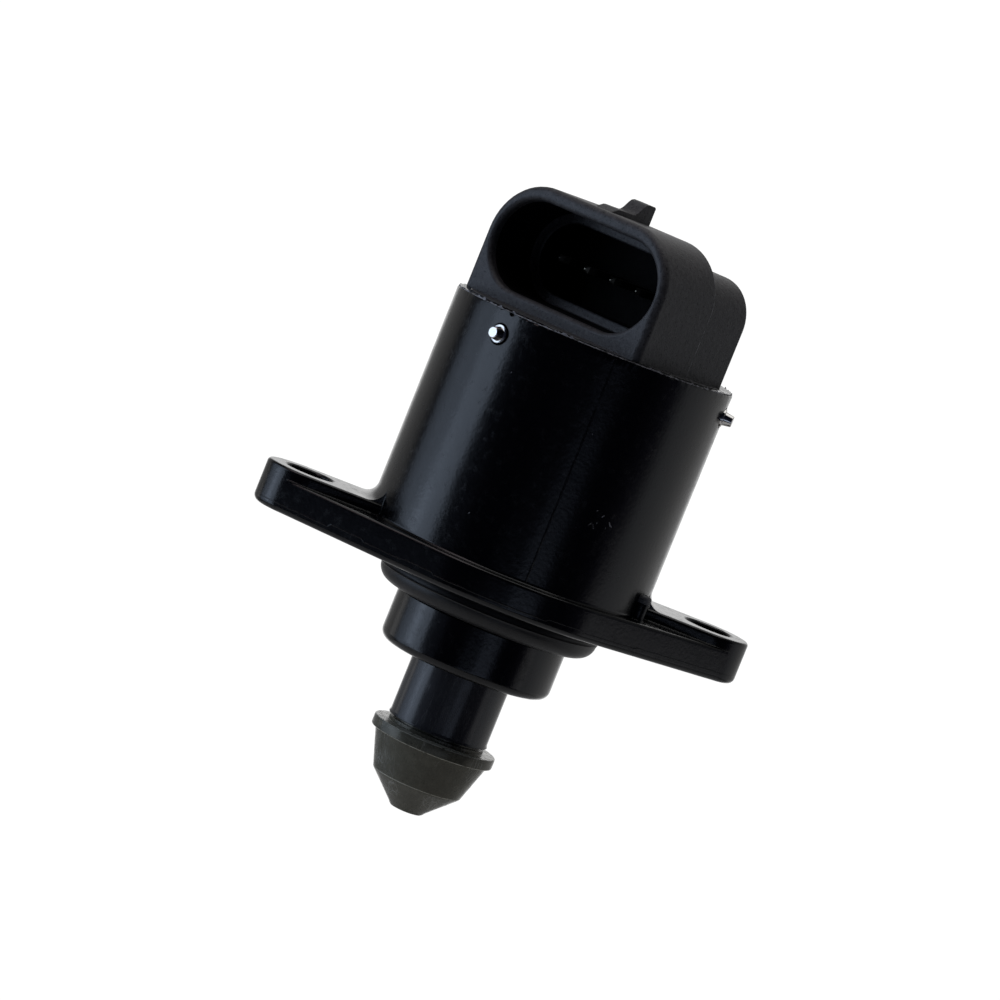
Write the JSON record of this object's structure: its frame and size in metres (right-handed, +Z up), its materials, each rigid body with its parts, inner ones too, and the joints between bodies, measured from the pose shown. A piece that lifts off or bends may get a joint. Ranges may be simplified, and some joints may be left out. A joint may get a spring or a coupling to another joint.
{
  "type": "idle air control valve",
  "caption": "Idle air control valve: flanged black stepper housing with a side-facing four-way socket on top and a sliding pintle below.",
  "frame": {"origin": "centre between the two fixing holes, on the flange's mounting face and the valve's axis", "axes": "+Z up the valve's axis from the pintle to the connector, X along the row of the two fixing holes"},
  "size_m": [0.0602, 0.0364, 0.0759],
  "materials": {
    "housing_black": "glossy black moulded plastic",
    "cap_black": "satin black moulded plastic",
    "rubber_black": "smooth black rubber",
    "pin_nickel": "bright nickel plate",
    "terminal_tin": "tinned brass",
    "stator_steel": "pressed sheet steel",
    "bobbin_white": "natural moulded plastic",
    "winding_copper": "enamelled copper wire",
    "spring_steel": "spring steel",
    "bush_bronze": "sintered bronze",
    "race_steel": "ground bearing steel",
    "cage_brass": "pressed brass",
    "magnet_ferrite": "dark ferrite",
    "nut_plastic": "natural moulded plastic",
    "screw_steel": "turned steel",
    "plunger_black": "glossy black moulded plastic",
    "tip_grey": "grey-brown moulded plastic"
  },
  "bodies": {
    "stator": {"housing": "housing_black", "flange_seal": "rubber_black", "connector_cap": "cap_black", "cap_seal": "rubber_black", "retaining_pin_1": "pin_nickel", "retaining_pin_2": "pin_nickel", "retaining_pin_3": "pin_nickel", "terminal_1": "terminal_tin", "terminal_2": "terminal_tin", "terminal_3": "terminal_tin", "terminal_4": "terminal_tin", "lower_stator_cup": "stator_steel", "lower_pole_plate": "stator_steel", "upper_pole_plate": "stator_steel", "upper_stator_cup": "stator_steel", "lower_bobbin": "bobbin_white", "upper_bobbin": "bobbin_white", "lower_winding": "winding_copper", "upper_winding": "winding_copper", "wave_washer": "spring_steel", "upper_bush": "bush_bronze", "spring_seat": "stator_steel", "return_spring": "spring_steel", "bearing_outer_race": "race_steel"},
    "rotor": {"rotor_magnet": "magnet_ferrite", "rotor_nut": "nut_plastic", "bearing_inner_race": "race_steel"},
    "ball_set": {"bearing_balls": "race_steel", "bearing_cage": "cage_brass"},
    "plunger": {"plunger_tube": "plunger_black", "pintle_tip": "tip_grey", "lead_screw": "screw_steel"}
  },
  "joints": [
    {"name": "rotor_spin", "type": "hinge", "parent": "stator", "child": "rotor", "pos_m": [0, 0, 0.016], "axis": [0, 0, -1], "range_deg": [0, 2700]},
    {"name": "ball_spin", "type": "hinge", "parent": "stator", "child": "ball_set", "pos_m": [0, 0, 0.0065], "axis": [0, 0, -1], "range_deg": [0, 1080.5]},
    {"name": "plunger_slide", "type": "slide", "parent": "stator", "child": "plunger", "axis": [0, 0, 1], "range_m": [0, 0.0075], "deforming": ["return_spring"]}
  ],
  "couplings": [
    {"joint": "rotor_spin", "follows": "plunger_slide", "rad_per_m": 6283.2},
    {"joint": "ball_spin", "follows": "plunger_slide", "rad_per_m": 2513.3}
  ]
}
